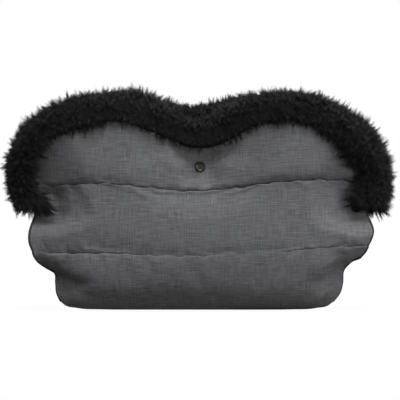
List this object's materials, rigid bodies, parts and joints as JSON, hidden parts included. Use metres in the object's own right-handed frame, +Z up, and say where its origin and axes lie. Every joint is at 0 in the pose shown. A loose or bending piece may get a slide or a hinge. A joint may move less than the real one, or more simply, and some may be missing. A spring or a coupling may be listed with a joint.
{
  "type": "stroller hand muff",
  "caption": "Quilted fabric hand muff with faux fur trimmed mouths that folds over a stroller handlebar and closes with press studs",
  "frame": {"origin": "on the centre line of the handlebar that the muff closes over, half way along the muff and midway between its two panels", "axes": "+X along the handlebar to the right as seen from the front, +Y from the front panel to the back panel, +Z up, towards the fur-trimmed mouths"},
  "size_m": [0.5509, 0.1098, 0.3112],
  "materials": {
    "outer_fabric": "dark grey melange woven cloth with a linen look, matt",
    "lining_fleece": "soft charcoal fleece, matt",
    "wadding": "white polyester wadding",
    "faux_fur": "black long-pile faux fur with a soft sheen",
    "edge_binding": "charcoal woven binding tape, matt",
    "stud_metal": "dark antiqued metal, lightly worn on its rim"
  },
  "bodies": {
    "tub": {"tub_shell": "outer_fabric", "tub_wadding": "wadding", "tub_lining": "lining_fleece", "left_notch_binding": "edge_binding", "right_notch_binding": "edge_binding", "left_seam_tape": "edge_binding", "right_seam_tape": "edge_binding"},
    "front_panel": {"front_shell": "outer_fabric", "front_middle_wadding": "wadding", "front_top_wadding": "wadding", "front_lining": "lining_fleece", "front_fur_trim": "faux_fur", "front_left_slot_binding": "edge_binding", "front_right_slot_binding": "edge_binding", "left_stud_cap": "stud_metal", "centre_stud_cap": "stud_metal", "right_stud_cap": "stud_metal", "left_stud_socket": "stud_metal", "centre_stud_socket": "stud_metal", "right_stud_socket": "stud_metal"},
    "back_panel": {"back_shell": "outer_fabric", "back_middle_wadding": "wadding", "back_top_wadding": "wadding", "back_lining": "lining_fleece", "back_fur_trim": "faux_fur", "back_left_slot_binding": "edge_binding", "back_right_slot_binding": "edge_binding", "left_stud_post": "stud_metal", "centre_stud_post": "stud_metal", "right_stud_post": "stud_metal", "left_stud_rivet": "stud_metal", "centre_stud_rivet": "stud_metal", "right_stud_rivet": "stud_metal"}
  },
  "joints": [
    {"name": "front_fold", "type": "hinge", "parent": "tub", "child": "front_panel", "pos_m": [0, -0.0289, -0.036], "axis": [1, 0, 0], "range_deg": [0, 90]},
    {"name": "back_fold", "type": "hinge", "parent": "tub", "child": "back_panel", "pos_m": [0, 0.0289, -0.036], "axis": [-1, 0, 0], "range_deg": [0, 90]}
  ]
}
